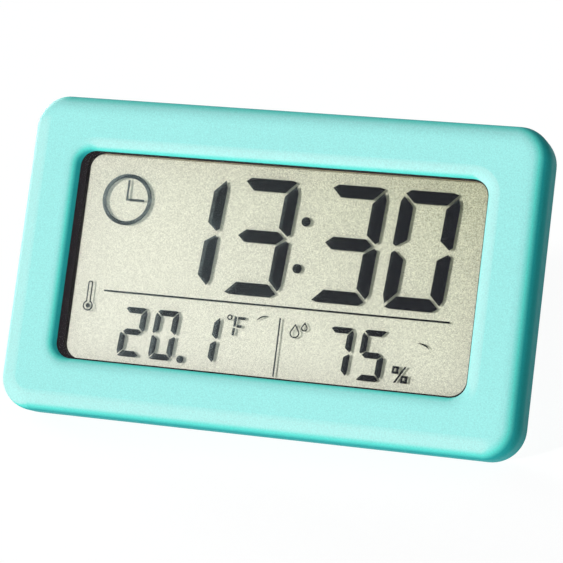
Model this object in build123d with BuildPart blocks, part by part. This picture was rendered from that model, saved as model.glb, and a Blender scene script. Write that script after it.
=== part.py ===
from build123d import *
import math
import os

# A small desk clock with a thermometer and a hygrometer. It leans back on a fold-out stand.
# Row frame: +X to the right of the display, -Y towards the viewer, +Z up, and the origin on the
# table under the middle of the whole object. Lengths are millimetres, angles degrees.

# Case
case_width = 98.0
case_height = 59.4
corner_radius = 6.2
front_edge_radius = 3.7
rear_edge_radius = 4.0
side_wall = 1.8
front_plate = 1.5
rear_wall = 1.4
cover_depth = 2.4
seam_gap = 0.1
lip_height = 1.2
lip_thickness = 0.9
lip_clearance = 0.15
lean = 24.4
overrun = 1.0

# Window in the front plate, a little lower than its middle, and the lens behind it
window_border = 10.3
window_drop = 0.2
window_corner_radius = 3.0
window_edge_radius = 2.6
tape_thickness = 0.1
lens_thickness = 1.0
lens_margin = 0.95
lens_corner_radius = 2.0
pocket_clearance = 0.2

# Display module: the view holds the lit parts, and the opening is what the frame shows of it
view_side_inset = 0.8
view_end_outset = 0.1
opening_left_inset = 0.9
opening_right_inset = 0.35
opening_lower_inset = 0.36
opening_upper_inset = -0.08
opening_corner_radius = 3.0
frame_ledge = 0.1
view_wall = 1.6
polariser_thickness = 0.2
glass_thickness = 0.7
cell_gap = 0.05
film_gap = 0.01
reflector_thickness = 0.2
glass_margin = 1.7
contact_ledge = 2.0
seal_width = 0.8
polariser_margin = 0.9
frame_wall = 1.0
frame_side_wall = 1.8
frame_board_gap = 0.1
strip_width = 1.4
strip_end_inset = 4.6
strip_edge_gap = 0.3

# Circuit board
board_side_gap = 5.2
board_end_gap = 1.3
board_corner_radius = 1.5
board_thickness = 0.8
board_gap = 0.24
board_post_radius = 1.5
board_post_x_share = 0.31
board_post_inset = 1.4
board_screw_radius = 0.7
board_screw_head_radius = 1.4
board_screw_head = 0.8
board_screw_length = 4.0
screw_clearance = 0.05
hole_clearance = 0.3
drive_width = 0.4
drive_depth = 0.4

# Case screws, in bosses at the four corners
boss_radius = 2.3
boss_side_inset = 6.4
boss_end_inset = 6.7
boss_board_clearance = 0.4
case_screw_radius = 0.95
case_screw_head_radius = 1.9
case_screw_head = 1.1
case_screw_length = 6.0
counterbore_depth = 1.7
counterbore_floor = 1.1
counterbore_clearance = 0.3
screw_tip_gap = 0.5

# Stand: a flap on two trunnions, folded into a recess in the back
stand_width = 22.0
stand_thickness = 1.8
stand_angle = 30.0
stand_inset = 0.15
hinge_height_share = 0.219
barrel_radius = 1.0
trunnion_radius = 0.7
trunnion_length = 1.6
trunnion_clearance = 0.05
trunnion_end_gap = 0.2
stand_side_gap = 0.3
stand_floor_gap = 0.35
stand_end_gap = 0.35
stand_stop_gap = 0.05
recess_floor = 1.0
recess_wall = 2.2
stand_corner_radius = 2.5
notch_width = 10.0
notch_depth = 5.2
notch_radius = 2.0
groove_width = 0.8
groove_depth = 0.3
groove_pitch = 1.7
groove_length = 12.0
groove_count = 4
groove_centre_share = 0.67

# Coin cell, its door and its contacts
cell_radius = 10.0
cell_thickness = 3.2
cell_cap_radius = 8.3
cell_cap_step = 0.3
cell_edge_radius = 0.4
cell_clearance = 0.4
cell_contact_gap = 0.05
cell_door_gap = 0.15
battery_x_share = 0.296
battery_y_share = -0.068
door_rim = 1.8
door_thickness = 1.0
door_floor_gap = 0.2
door_clearance = 0.3
door_tab_reach = 0.9
door_tab_thickness = 0.5
door_tab_angle = 18.0
door_tab_count = 3
door_tab_gap = 0.1
door_turn = 30.0
door_entry_angle = 24.0
door_groove_clearance = 0.25
door_boss_width = 1.0
door_boss_height = 1.0
coin_slot_length = 15.0
coin_slot_width = 2.0
coin_slot_depth = 0.55
door_mark_width = 2.0
door_mark_depth = 0.2
ring_wall = 1.2
ring_board_gap = 0.2
contact_thickness = 0.2
contact_width = 5.0
contact_height = 2.1
contact_foot = 3.6
contact_slot_clearance = 0.5
contact_slot_length = 4.8
contact_cell_gap = 0.1
spring_radius = 5.5
spring_arm_width = 1.6

# Buttons on the back, in one column
button_x_share = -0.2245
button_pitch = 9.0
button_length = 7.0
button_width = 3.8
button_proud = 0.7
button_flange = 0.7
button_flange_thickness = 0.5
button_flange_gap = 0.15
button_clearance = 0.2
button_edge_radius = 0.35
button_travel = 0.5
button_mark = 1.5
button_mark_line = 0.4
button_mark_depth = 0.2
stem_radius = 1.1
tact_width = 4.2
tact_height = 1.1
plunger_radius = 0.9
plunger_height = 0.3
stem_gap = 0.1

# Hanging keyhole
keyhole_top_inset = 10.1
keyhole_radius = 3.1
keyhole_slot_radius = 1.6
keyhole_rise = 3.2
keyhole_pocket_depth = 1.8
keyhole_pocket_clearance = 0.2
keyhole_pocket_wall = 0.7

# Magnets, let into the back
magnet_radius = 4.0
magnet_thickness = 1.0
magnet_x_share = 0.306
magnet_top_inset = 10.2
magnet_clearance = 0.15
magnet_recess_depth = 1.15
magnet_boss_wall = 1.1
magnet_boss_height = 0.8

# Vents over the sensors
vent_x_share = -0.3673
vent_y_share = -0.2525
vent_length = 9.0
vent_width = 1.0
vent_pitch = 2.0
vent_count = 6

# What the board carries on its back
chip_radius = 4.6
chip_height = 1.2
chip_x_share = -0.3988
chip_y_share = 0.1974
crystal_radius = 1.05
crystal_length = 6.2
crystal_x_share = -0.4167
crystal_y_share = 0.0282
crystal_lead_radius = 0.15
crystal_lead_length = 1.8
crystal_gap = 0.05
sensor_drop = 2.5
sensor_length = 8.0
sensor_width = 5.0
sensor_thickness = 0.6
sensor_stand_off = 1.2
sensor_lead = 0.5
sensor_window = 0.15
bead_radius = 0.8
bead_rise = 4.5
bead_stand_off = 1.6
bead_lead_radius = 0.15
bead_lead_spread = 0.5
smd_length = 1.6
smd_width = 0.8
smd_height = 0.6
smd_row = 5
smd_rows = 2
smd_pitch_x = 2.4
smd_pitch_y = 2.0
smd_x_share = -0.155
smd_top_inset = 4.1

# Lit parts of the display: time above, temperature and humidity below
slant_share = 0.07
bar_share = 0.94
gap_share = 0.195
blunt_bar_climb_share = 0.67
blunt_bar_inset_share = 0.67
blunt_upright_climb_share = 0.74
blunt_upright_drop_share = 0.88
blunt_inner_share = 0.64
sharp_bar_climb_share = 0.82
sharp_bar_inset_share = 0.62
sharp_upright_climb_share = 0.86
sharp_upright_drop_share = 0.95
sharp_inner_share = 0.77
outer_share = 0.33
tip_inset_share = 0.25
tip_rise_share = 0.16
middle_share = 0.504
middle_inset_share = 0.45
middle_point_share = 0.55
time_height_share = 0.5577
time_width_share = 0.1458
time_stroke = 2.5
time_pitch_share = 0.18
hours_x_share = -0.3059
minutes_x_share = 0.093
time_base_share = -0.1162
colon_radius = 0.87
colon_rise_share = 0.4
colon_x_share = 0.061
colon_y_share = 0.142
reading_height_share = 0.2367
reading_width_share = 0.061
reading_stroke = 1.17
reading_pitch_share = 0.0823
reading_base_share = -0.4582
degrees_x_share = -0.3733
tenths_x_share = -0.1853
humidity_x_share = 0.1478
point_radius = 0.7
point_x_share = -0.2074
point_y_share = -0.4456
rule_width = 0.32
rule_length_share = 0.868
rule_x_share = 0.0087
rule_y_share = -0.1546
divider_width = 0.3
divider_length_share = 0.2744
divider_x_share = 0.031
divider_y_share = -0.3442
ring_radius = 4.85
ring_line = 0.75
ring_x_share = -0.3972
ring_y_share = 0.29
hand_line = 0.42
long_hand = 3.5
short_hand = 3.2
fine_line = 0.24
tube_width = 0.95
tube_height = 4.2
bulb_radius = 0.98
bulb_dot_radius = 0.42
tube_x_share = -0.4624
bulb_y_share = -0.2336
drop_radius = 0.92
drop_height = 1.75
drop_x_share = 0.0706
drop_y_share = -0.2712
small_drop_radius = 0.62
small_drop_height = 1.1
small_drop_x_share = 0.0935
small_drop_y_share = -0.2433
degree_radius = 0.52
degree_x_share = -0.0949
degree_y_share = -0.2254
letter_height = 3.5
letter_width = 2.1
letter_line = 0.5
letter_gap = 0.28
letter_x_share = -0.0857
letter_y_share = -0.3092
percent_height = 2.95
percent_width = 3.1
percent_line = 0.42
percent_zero_share = 0.4
percent_x_share = 0.3163
percent_y_share = -0.4518
mark_length = 2.5
mark_thickness = 0.28
mark_bow = 0.22
first_mark_x_share = -0.0126
first_mark_y_share = -0.2182
first_mark_turn = 24.0
second_mark_x_share = 0.3868
second_mark_y_share = -0.2761
second_mark_turn = -22.0

# Sizes and places that follow from those above
cavity_width = case_width - 2 * side_wall
cavity_height = case_height - 2 * side_wall
cavity_radius = corner_radius - side_wall
window_width = case_width - 2 * window_border
window_height = case_height - 2 * window_border + window_drop
window_y = -window_drop / 2
round_past_plate = max(window_edge_radius - front_plate, 0)
bore_inset = window_edge_radius - math.sqrt(window_edge_radius ** 2 - round_past_plate ** 2)
view_width = window_width - 2 * view_side_inset
view_height = window_height - window_drop + 2 * view_end_outset
opening_width = window_width - opening_left_inset - opening_right_inset
opening_height = window_height - opening_lower_inset - opening_upper_inset
opening_x = (opening_left_inset - opening_right_inset) / 2
opening_y = window_y + (opening_lower_inset - opening_upper_inset) / 2
time_height = time_height_share * view_height
time_width = time_width_share * view_width
time_pitch = time_pitch_share * view_width
reading_height = reading_height_share * view_height
reading_width = reading_width_share * view_width
reading_pitch = reading_pitch_share * view_width
board_width = cavity_width - 2 * board_side_gap
board_height = cavity_height - 2 * board_end_gap
board_post_x = board_post_x_share * board_width
board_post_y = board_height / 2 - board_post_inset
boss_x = case_width / 2 - boss_side_inset
boss_y = case_height / 2 - boss_end_inset
hinge_height = hinge_height_share * case_height
battery_x = battery_x_share * case_width
battery_y = battery_y_share * case_height
door_radius = cell_radius + cell_clearance + door_rim
button_x = button_x_share * case_width
keyhole_y = case_height / 2 - keyhole_top_inset
magnet_x = magnet_x_share * case_width
magnet_y = case_height / 2 - magnet_top_inset
vent_x = vent_x_share * case_width
vent_y = vent_y_share * case_height
chip_x = chip_x_share * board_width
chip_y = chip_y_share * board_height
crystal_x = crystal_x_share * board_width
crystal_y = crystal_y_share * board_height
sensor_y = vent_y - sensor_drop
bead_y = vent_y + bead_rise
smd_x = smd_x_share * board_width
smd_y = board_height / 2 - smd_top_inset

# Depths behind the front of the case, from front to back
lens_depth = front_plate + tape_thickness
ledge_depth = lens_depth + lens_thickness + frame_ledge
cell_depth = ledge_depth + view_wall
front_glass_depth = cell_depth + polariser_thickness
segment_depth = front_glass_depth + glass_thickness
rear_glass_depth = segment_depth + cell_gap
rear_glass_back = rear_glass_depth + glass_thickness
reflector_depth = rear_glass_back + film_gap
module_depth = reflector_depth + reflector_thickness
board_depth = module_depth + board_gap
board_back = board_depth + board_thickness
cell_front = board_back + contact_thickness + cell_contact_gap
cell_back = cell_front + cell_thickness
case_depth = cell_back + cell_door_gap + door_thickness
parting_depth = case_depth - cover_depth
inner_back = case_depth - rear_wall

# The case rolls on its rounded lower rear edge until the stand's tip meets the table
cos_lean = math.cos(math.radians(lean))
sin_lean = math.sin(math.radians(lean))
rear_round_y = case_height / 2 - rear_edge_radius
rear_round_z = case_depth - rear_edge_radius
front_round_y = case_height / 2 - front_edge_radius
rest_height = rear_round_y * cos_lean + rear_round_z * sin_lean + rear_edge_radius
hinge_depth = case_depth - stand_inset - stand_thickness / 2
tip_radius = stand_thickness / 2
leg_lean = lean - stand_angle
hinge_over_table = rest_height + hinge_height * cos_lean - hinge_depth * sin_lean
stand_length = (hinge_over_table - tip_radius) / math.cos(math.radians(leg_lean))
front_reach = front_round_y * sin_lean - front_edge_radius * cos_lean + front_edge_radius
case_reach = rear_round_y * sin_lean + rear_round_z * cos_lean + rear_edge_radius
hinge_reach = hinge_height * sin_lean + hinge_depth * cos_lean
tip_reach = hinge_reach - stand_length * math.sin(math.radians(leg_lean)) + tip_radius
rear_reach = max(case_reach, tip_reach)
front_y = (front_reach - rear_reach) / 2


def leaned(origin, angle):
    """A plane whose Y axis leans back from upright by this angle, facing the viewer."""
    turn = math.radians(angle)
    return Plane(origin=origin, x_dir=(1, 0, 0), z_dir=(0, -math.cos(turn), math.sin(turn)))


def side_on(plane):
    """The plane square to X through a plane's origin: its X runs up it, its Y out of its front."""
    return Plane(origin=plane.origin, x_dir=plane.y_dir, z_dir=(1, 0, 0))


FRONT = leaned((0, front_y, rest_height), lean)
HINGE = FRONT.from_local_coords((0, hinge_height, -hinge_depth))
LEG = leaned(HINGE, leg_lean)
OUTWARD = Axis(FRONT.origin, FRONT.z_dir)

os.makedirs("parts", exist_ok=True)


def depth(value):
    """The plane parallel to the display, this far behind the front of the case."""
    return FRONT.offset(-value)


def save(piece, name):
    """Labels a finished piece and writes it under its node's name."""
    piece.part.label = name
    export_step(piece.part, "parts/" + name + ".step")


def four(x, y):
    """The four places at plus and minus x and y."""
    return [(-x, -y), (x, -y), (-x, y), (x, y)]


# The whole outside of the case, which the front and the back are cut from
with BuildPart() as case_block:
    with BuildSketch(depth(case_depth)):
        RectangleRounded(case_width, case_height, corner_radius)
    extrude(amount=case_depth)
    fillet(case_block.faces().sort_by(OUTWARD)[-1].edges(), front_edge_radius)
    fillet(case_block.faces().sort_by(OUTWARD)[0].edges(), rear_edge_radius)

boss_places = four(boss_x, boss_y)
post_places = four(board_post_x, board_post_y)

# Front bezel: the moulded front shell with its window, corner bosses and board posts
boss_back = parting_depth - counterbore_floor + seam_gap
with BuildPart() as front_bezel:
    add(case_block.part)
    split(bisect_by=depth(parting_depth), keep=Keep.TOP)
    # The round of the window's edge is deeper than the plate, so it is made before the cavity is
    with BuildSketch(depth(parting_depth + overrun)):
        with Locations((0, window_y)):
            RectangleRounded(window_width - 2 * bore_inset, window_height - 2 * bore_inset,
                             window_corner_radius - bore_inset)
    extrude(amount=parting_depth + 2 * overrun, mode=Mode.SUBTRACT)
    window_edges = front_bezel.faces().sort_by(OUTWARD)[-1].inner_wires()[0].edges()
    fillet(window_edges, window_edge_radius)
    with BuildSketch(depth(parting_depth + overrun)):
        RectangleRounded(cavity_width, cavity_height, cavity_radius)
    extrude(amount=parting_depth + overrun - front_plate, mode=Mode.SUBTRACT)
    with BuildSketch(depth(boss_back)):
        with Locations(*boss_places):
            Circle(boss_radius)
    extrude(amount=boss_back - front_plate)
    with BuildSketch(depth(board_depth)):
        with Locations(*post_places):
            Circle(board_post_radius)
    extrude(amount=board_depth - front_plate)
    with BuildSketch(depth(boss_back + overrun)):
        with Locations(*boss_places):
            Circle(case_screw_radius + screw_clearance)
    extrude(amount=case_screw_length + overrun, mode=Mode.SUBTRACT)
    with BuildSketch(depth(board_depth + overrun)):
        with Locations(*post_places):
            Circle(board_screw_radius + screw_clearance)
    extrude(amount=board_screw_length + overrun, mode=Mode.SUBTRACT)
save(front_bezel, "front_bezel")

# Tape that holds the lens to the back of the front plate
lens_width = window_width + 2 * lens_margin
lens_height = window_height + 2 * lens_margin
with BuildPart() as lens_tape:
    with BuildSketch(depth(lens_depth)):
        RectangleRounded(lens_width, lens_height, lens_corner_radius)
        with Locations((0, window_y)):
            RectangleRounded(window_width, window_height, window_corner_radius, mode=Mode.SUBTRACT)
    extrude(amount=tape_thickness)
save(lens_tape, "lens_tape")

# Clear window
with BuildPart() as window_lens:
    with BuildSketch(depth(lens_depth + lens_thickness)):
        RectangleRounded(lens_width, lens_height, lens_corner_radius)
    extrude(amount=lens_thickness)
save(window_lens, "window_lens")

# Display frame: a black carrier with a pocket for the lens in front and for the cell behind
glass_width = view_width + 2 * glass_margin
rear_glass_height = view_height + 2 * seal_width
front_glass_height = rear_glass_height + 2 * contact_ledge
pocket_width = glass_width + 2 * pocket_clearance
pocket_height = front_glass_height + 2 * pocket_clearance
frame_width = pocket_width + 2 * frame_side_wall
frame_height = pocket_height + 2 * frame_wall
frame_back = board_depth - frame_board_gap
with BuildPart() as lcd_frame:
    with BuildSketch(depth(frame_back)):
        RectangleRounded(frame_width, frame_height, frame_wall)
    extrude(amount=frame_back - front_plate)
    with BuildSketch(depth(frame_back + overrun)):
        with Locations((opening_x, opening_y)):
            RectangleRounded(opening_width, opening_height, opening_corner_radius)
    extrude(amount=frame_back - front_plate + 2 * overrun, mode=Mode.SUBTRACT)
    with BuildSketch(depth(ledge_depth)):
        RectangleRounded(lens_width + 2 * pocket_clearance, lens_height + 2 * pocket_clearance,
                         lens_corner_radius)
    extrude(amount=ledge_depth - front_plate + overrun, mode=Mode.SUBTRACT)
    with BuildSketch(depth(frame_back + overrun)):
        Rectangle(pocket_width, pocket_height)
    extrude(amount=frame_back + overrun - cell_depth, mode=Mode.SUBTRACT)
    with BuildSketch(depth(frame_back + overrun)):
        with Locations(*boss_places):
            Circle(boss_radius + boss_board_clearance)
    extrude(amount=frame_back - front_plate + 2 * overrun, mode=Mode.SUBTRACT)
save(lcd_frame, "lcd_frame")

# Display cell: front polariser, two glass plates with a seal between them, and the reflector
with BuildPart() as lcd_front_polariser:
    with BuildSketch(depth(front_glass_depth)):
        Rectangle(view_width + 2 * polariser_margin, view_height + 2 * polariser_margin)
    extrude(amount=polariser_thickness)
save(lcd_front_polariser, "lcd_front_polariser")

with BuildPart() as lcd_front_glass:
    with BuildSketch(depth(segment_depth)):
        Rectangle(glass_width, front_glass_height)
    extrude(amount=glass_thickness)
save(lcd_front_glass, "lcd_front_glass")

with BuildPart() as lcd_seal:
    with BuildSketch(depth(rear_glass_depth)):
        Rectangle(glass_width, rear_glass_height)
        Rectangle(glass_width - 2 * seal_width, rear_glass_height - 2 * seal_width,
                  mode=Mode.SUBTRACT)
    extrude(amount=cell_gap)
save(lcd_seal, "lcd_seal")

with BuildPart() as lcd_rear_glass:
    with BuildSketch(depth(rear_glass_back)):
        Rectangle(glass_width, rear_glass_height)
    extrude(amount=glass_thickness)
save(lcd_rear_glass, "lcd_rear_glass")

with BuildPart() as lcd_reflector:
    with BuildSketch(depth(module_depth)):
        Rectangle(view_width + 2 * polariser_margin, rear_glass_height)
    extrude(amount=reflector_thickness)
save(lcd_reflector, "lcd_reflector")


def half_digit(width, rise, stroke):
    """The top bar and the two uprights under it, up from the middle of an upright digit's left side.

    They meet at 45 degrees once the digit is slanted, which makes the right corner the sharper one."""
    far = width - stroke
    inner = rise - bar_share * stroke
    drop = inner - gap_share * stroke * math.sqrt(2)

    def cut(x, y, climb, out):
        return (x + out * climb * stroke, y + climb * stroke)

    left_out = -1 - slant_share
    right_out = 1 - slant_share
    tip_y = tip_rise_share * stroke
    tip_inset = tip_inset_share * stroke
    bar = [(stroke, inner), cut(stroke, inner, blunt_bar_climb_share, left_out),
           (blunt_bar_inset_share * stroke, rise), (width - sharp_bar_inset_share * stroke, rise),
           cut(far, inner, sharp_bar_climb_share, right_out), (far, inner)]
    left = [(stroke, drop), cut(stroke, drop, blunt_upright_climb_share, left_out),
            (0, rise - blunt_upright_drop_share * stroke), (0, outer_share * stroke),
            (tip_inset, tip_y), (stroke, blunt_inner_share * stroke)]
    right = [(far, drop), cut(far, drop, sharp_upright_climb_share, right_out),
             (width, rise - sharp_upright_drop_share * stroke), (width, outer_share * stroke),
             (width - tip_inset, tip_y), (far, sharp_inner_share * stroke)]
    return bar, left, right


def segments_of(width, height, stroke):
    """The seven outlines of one upright digit, from its lower left corner, by their usual letters.

    The lower half is the upper one turned half round, and the middle bar ends in points."""
    middle = middle_share * height
    top, upper_left, upper_right = [
        [(x, middle + y) for x, y in outline]
        for outline in half_digit(width, height - middle, stroke)]
    bottom, lower_right, lower_left = [
        [(width - x, middle - y) for x, y in outline]
        for outline in half_digit(width, middle, stroke)]
    tip = middle_inset_share * stroke
    shoulder = tip + middle_point_share * stroke
    half_bar = bar_share * stroke / 2
    across = [(tip, middle), (shoulder, middle + half_bar), (width - shoulder, middle + half_bar),
              (width - tip, middle), (width - shoulder, middle - half_bar),
              (shoulder, middle - half_bar)]
    return {"a": top, "b": upper_right, "c": lower_right, "d": bottom,
            "e": lower_left, "f": upper_left, "g": across}


LIT = {"0": "abcdef", "1": "bc", "2": "abdeg", "3": "abcdg", "5": "acdfg", "7": "abc"}


def slanted(points, x, y):
    """Outline points moved to x, y, and sheared to the right as they rise from there."""
    return [(x + px + slant_share * py, y + py) for px, py in points]


def digit(character, x, y, width, height, stroke):
    """The lit segments of one digit, with its lower left corner at x, y."""
    outlines = segments_of(width, height, stroke)
    for letter in LIT[character]:
        Polygon(*slanted(outlines[letter], x, y), align=None)


def bar(x, y, left, bottom, right, top):
    """A slanted bar between these sides, measured from x, y."""
    corners = [(left, bottom), (right, bottom), (right, top), (left, top)]
    Polygon(*slanted(corners, x, y), align=None)


def drop(x, y, radius, height):
    """The outline of a drop: a circle at x, y with straight sides that meet this far above it."""
    inside = (radius - fine_line) / radius
    turn = math.asin(radius / height)
    for scale, mode in ((1, Mode.ADD), (inside, Mode.SUBTRACT)):
        touch_x = scale * radius * math.cos(turn)
        touch_y = scale * radius * math.sin(turn)
        with Locations((x, y)):
            Circle(scale * radius, mode=mode)
        Polygon((x, y + scale * height), (x - touch_x, y + touch_y), (x + touch_x, y + touch_y),
                align=None, mode=mode)


def tube_symbol(x, y):
    """A small thermometer: a tube on a bulb at x, y, drawn as an outline with a dot in the bulb."""
    for inset, mode in ((0, Mode.ADD), (fine_line, Mode.SUBTRACT)):
        with Locations((x, y)):
            Circle(bulb_radius - inset, mode=mode)
        with Locations((x, y + tube_height / 2)):
            SlotOverall(tube_height + tube_width - 2 * inset, tube_width - 2 * inset,
                        rotation=90, mode=mode)
    with Locations((x, y)):
        Circle(bulb_dot_radius)


def turned(points, x, y, turn):
    """Points moved to x, y and turned about it."""
    along = math.cos(math.radians(turn))
    across = math.sin(math.radians(turn))
    return [(x + px * along - py * across, y + px * across + py * along) for px, py in points]


# Lit parts of the display, as thin films on the inside of the front glass
with BuildPart() as lcd_segments:
    with BuildSketch(depth(rear_glass_depth - film_gap)):
        with Locations((ring_x_share * view_width, ring_y_share * view_height)):
            Circle(ring_radius)
            Circle(ring_radius - ring_line, mode=Mode.SUBTRACT)
        with Locations((degree_x_share * view_width, degree_y_share * view_height)):
            Circle(degree_radius)
            Circle(degree_radius - fine_line, mode=Mode.SUBTRACT)
        corner_x = ring_x_share * view_width - hand_line / 2
        corner_y = ring_y_share * view_height - hand_line / 2
        with Locations((corner_x, corner_y)):
            Rectangle(hand_line, long_hand + hand_line, align=(Align.MIN, Align.MIN))
            Rectangle(short_hand + hand_line, hand_line, align=(Align.MIN, Align.MIN))
        time_y = time_base_share * view_height
        for place, character in enumerate("13"):
            digit(character, hours_x_share * view_width + place * time_pitch, time_y,
                  time_width, time_height, time_stroke)
        for place, character in enumerate("30"):
            digit(character, minutes_x_share * view_width + place * time_pitch, time_y,
                  time_width, time_height, time_stroke)
        colon_x = colon_x_share * view_width
        colon_rise = colon_rise_share * time_height
        for side in (-1, 1):
            dot_y = colon_y_share * view_height + side * colon_rise / 2
            with Locations((colon_x + slant_share * side * colon_rise / 2, dot_y)):
                Circle(colon_radius)
        reading_y = reading_base_share * view_height
        for place, character in enumerate("20"):
            digit(character, degrees_x_share * view_width + place * reading_pitch, reading_y,
                  reading_width, reading_height, reading_stroke)
        digit("1", tenths_x_share * view_width, reading_y,
              reading_width, reading_height, reading_stroke)
        for place, character in enumerate("75"):
            digit(character, humidity_x_share * view_width + place * reading_pitch, reading_y,
                  reading_width, reading_height, reading_stroke)
        with Locations((point_x_share * view_width, point_y_share * view_height)):
            Circle(point_radius)
        with Locations((rule_x_share * view_width, rule_y_share * view_height)):
            Rectangle(rule_length_share * view_width, rule_width)
        with Locations((divider_x_share * view_width, divider_y_share * view_height)):
            Rectangle(divider_width, divider_length_share * view_height)
        letter_x = letter_x_share * view_width
        letter_y = letter_y_share * view_height
        slit = letter_gap / 2
        letter_middle = (letter_height - letter_line) / 2
        bar(letter_x, letter_y, letter_line + slit, letter_height - letter_line,
            letter_width, letter_height)
        bar(letter_x, letter_y, letter_line + slit, letter_middle,
            letter_width - letter_line, letter_middle + letter_line)
        bar(letter_x, letter_y, 0, letter_middle + slit, letter_line, letter_height)
        bar(letter_x, letter_y, 0, 0, letter_line, letter_middle - slit)
        percent_x = percent_x_share * view_width
        percent_y = percent_y_share * view_height
        zero_width = percent_width * percent_zero_share
        zero_height = percent_height / 2 - percent_line / 4
        zero_places = [(0, percent_height - zero_height), (percent_width - zero_width, 0)]
        for zero_x, zero_y in zero_places:
            left = zero_x
            right = zero_x + zero_width
            low = zero_y
            high = zero_y + zero_height
            bar(percent_x, percent_y, left, low, left + percent_line, high)
            bar(percent_x, percent_y, right - percent_line, low, right, high)
            bar(percent_x, percent_y, left, low, right, low + percent_line)
            bar(percent_x, percent_y, left, high - percent_line, right, high)
        Polygon((percent_x + zero_width / 2, percent_y),
                (percent_x + zero_width / 2 + percent_line, percent_y),
                (percent_x + percent_width - zero_width / 4, percent_y + percent_height),
                (percent_x + percent_width - zero_width / 4 - percent_line,
                 percent_y + percent_height),
                align=None)
        drop(drop_x_share * view_width, drop_y_share * view_height, drop_radius, drop_height)
        drop(small_drop_x_share * view_width, small_drop_y_share * view_height,
             small_drop_radius, small_drop_height)
        tube_symbol(tube_x_share * view_width, bulb_y_share * view_height)
        marks = [(first_mark_x_share, first_mark_y_share, first_mark_turn),
                 (second_mark_x_share, second_mark_y_share, second_mark_turn)]
        for x_share, y_share, turn in marks:
            start, over, end, under = turned(
                [(-mark_length / 2, 0), (0, mark_bow + mark_thickness),
                 (mark_length / 2, 0), (0, mark_bow)],
                x_share * view_width, y_share * view_height, turn)
            with BuildLine():
                ThreePointArc(start, over, end)
                ThreePointArc(end, under, start)
            make_face()
    extrude(amount=cell_gap - 2 * film_gap)
save(lcd_segments, "lcd_segments")

# Striped rubber connectors between the glass ledges and the board
strip_y = (rear_glass_height + strip_width) / 2 + strip_edge_gap
with BuildPart() as zebra_strips:
    with BuildSketch(depth(board_depth)):
        with Locations((0, -strip_y), (0, strip_y)):
            Rectangle(glass_width - 2 * strip_end_inset, strip_width)
    extrude(amount=board_depth - segment_depth)
save(zebra_strips, "zebra_strips")

# Circuit board, notched round the corner bosses
with BuildPart() as circuit_board:
    with BuildSketch(depth(board_back)):
        RectangleRounded(board_width, board_height, board_corner_radius)
        with Locations(*boss_places):
            Circle(boss_radius + boss_board_clearance, mode=Mode.SUBTRACT)
        with Locations(*post_places):
            Circle(board_screw_radius + hole_clearance, mode=Mode.SUBTRACT)
    extrude(amount=board_thickness)
save(circuit_board, "circuit_board")


def screws(places, seat, radius, length, head_radius, head):
    """Pan-head screws with a cross drive, whose heads bear on a face this deep in the case."""
    with BuildPart() as group:
        with BuildSketch(depth(seat)):
            with Locations(*places):
                Circle(radius)
        extrude(amount=length)
        with BuildSketch(depth(seat + head)):
            with Locations(*places):
                Circle(head_radius)
        extrude(amount=head)
        with BuildSketch(depth(seat + head + overrun)):
            with Locations(*places):
                Rectangle(head_radius, drive_width)
                Rectangle(drive_width, head_radius)
        extrude(amount=drive_depth + overrun, mode=Mode.SUBTRACT)
    return group


board_screws = screws(post_places, board_back, board_screw_radius,
                      board_thickness + board_screw_length - screw_tip_gap,
                      board_screw_head_radius, board_screw_head)
save(board_screws, "board_screws")

# Back cover: the stand's recess, the door's seat, the keyhole, the vents and the screw bosses
lip_inset = side_wall + lip_clearance
cover_inset = lip_inset + lip_thickness
cover_front = parting_depth + seam_gap
hinge_floor = hinge_depth - stand_thickness / 2 - stand_floor_gap
recess_back = hinge_floor - recess_floor
stop_room = hinge_depth - hinge_floor - stand_stop_gap
stand_turn = math.radians(stand_angle)
heel_height = (stop_room - tip_radius * math.cos(stand_turn)) / math.sin(stand_turn)
recess_top = hinge_height + max(heel_height, barrel_radius) + stand_end_gap
recess_bottom = hinge_height - stand_length - tip_radius - stand_end_gap
recess_middle = (recess_top + recess_bottom) / 2
recess_width = stand_width + 2 * stand_side_gap
recess_height = recess_top - recess_bottom
trunnion_reach = recess_width / 2 + trunnion_length + trunnion_end_gap
door_floor = case_depth - door_thickness - door_floor_gap
ring_radius_inside = cell_radius + cell_clearance
seat_radius = door_radius + door_clearance
groove_radius = door_radius + door_tab_reach + door_groove_clearance
groove_lip = case_depth - door_floor - door_tab_thickness - 2 * door_tab_gap
keyhole_width = 2 * (keyhole_radius + keyhole_pocket_clearance)
counterbore_seat = case_depth - counterbore_depth
screw_boss_front = counterbore_seat - counterbore_floor


def wedges(radius, angle, turn):
    """Equal wedges round the door's centre, one for each tab, turned from the top."""
    half = math.radians(angle / 2)
    for index in range(door_tab_count):
        middle = math.radians(90 + turn + index * 360 / door_tab_count)
        far = radius / math.cos(half)
        Polygon((0, 0), (far * math.cos(middle - half), far * math.sin(middle - half)),
                (far * math.cos(middle + half), far * math.sin(middle + half)), align=None)


def door_plane(value):
    """The plane at this depth with its origin on the door's axis."""
    return Plane(FRONT.from_local_coords((battery_x, battery_y, -value)),
                 x_dir=FRONT.x_dir, z_dir=FRONT.z_dir)


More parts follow.
